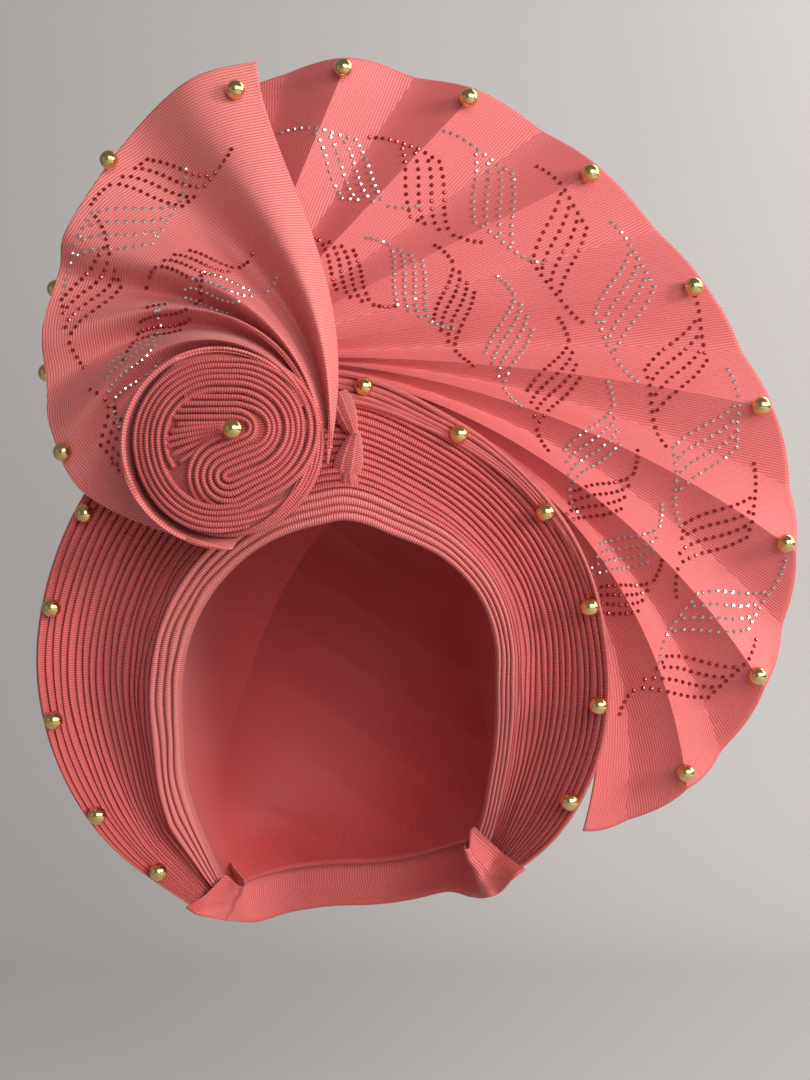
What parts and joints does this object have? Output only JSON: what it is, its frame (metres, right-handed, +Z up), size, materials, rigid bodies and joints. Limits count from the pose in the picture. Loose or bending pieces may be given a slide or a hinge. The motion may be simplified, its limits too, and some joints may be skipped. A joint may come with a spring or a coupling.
{
  "type": "tied gele head tie",
  "caption": "Tied head wrap of ribbed coral cloth: cap, pleated brim, open fan, and a swirl wound into a rosette, trimmed with gold beads.",
  "frame": {"origin": "the crown point, where the top of the head touches the cap from inside", "axes": "+Z up, +Y from the face towards the back of the head, +X to the right of someone who looks at the face"},
  "size_m": [0.3522, 0.2221, 0.4252],
  "materials": {
    "band_cloth": "ribbed cloth, soft sheen",
    "brim_cloth": "ribbed cloth in fine pleats",
    "crown_cloth": "ribbed cloth, soft sheen",
    "fan_cloth": "ribbed cloth, pressed folds",
    "swirl_cloth": "ribbed cloth, soft folds",
    "rosette_cloth": "ribbed cloth in wound pleats",
    "tuck_cloth": "ribbed cloth, gathered",
    "nape_cloth": "ribbed cloth, soft sheen",
    "gold_bead": "polished gold",
    "clear_stone": "cut stone, silver backed",
    "red_stone": "cut stone, dark red"
  },
  "bodies": {
    "root": {"crown": "crown_cloth", "face_band": "band_cloth", "brim": "brim_cloth", "fan": "fan_cloth", "swirl": "swirl_cloth", "rosette": "rosette_cloth", "side_tuck": "tuck_cloth", "nape_band": "nape_cloth", "bead_fan_1": "gold_bead", "bead_fan_2": "gold_bead", "bead_fan_3": "gold_bead", "bead_fan_4": "gold_bead", "bead_fan_5": "gold_bead", "bead_fan_6": "gold_bead", "bead_fan_7": "gold_bead", "bead_fan_8": "gold_bead", "bead_swirl_1": "gold_bead", "bead_swirl_2": "gold_bead", "bead_swirl_3": "gold_bead", "bead_swirl_4": "gold_bead", "bead_swirl_5": "gold_bead", "bead_brim_1": "gold_bead", "bead_brim_2": "gold_bead", "bead_brim_3": "gold_bead", "bead_brim_4": "gold_bead", "bead_brim_5": "gold_bead", "bead_brim_6": "gold_bead", "bead_brim_7": "gold_bead", "bead_brim_8": "gold_bead", "bead_brim_9": "gold_bead", "bead_brim_10": "gold_bead", "bead_brim_11": "gold_bead", "bead_rosette": "gold_bead"}
  },
  "joints": []
}
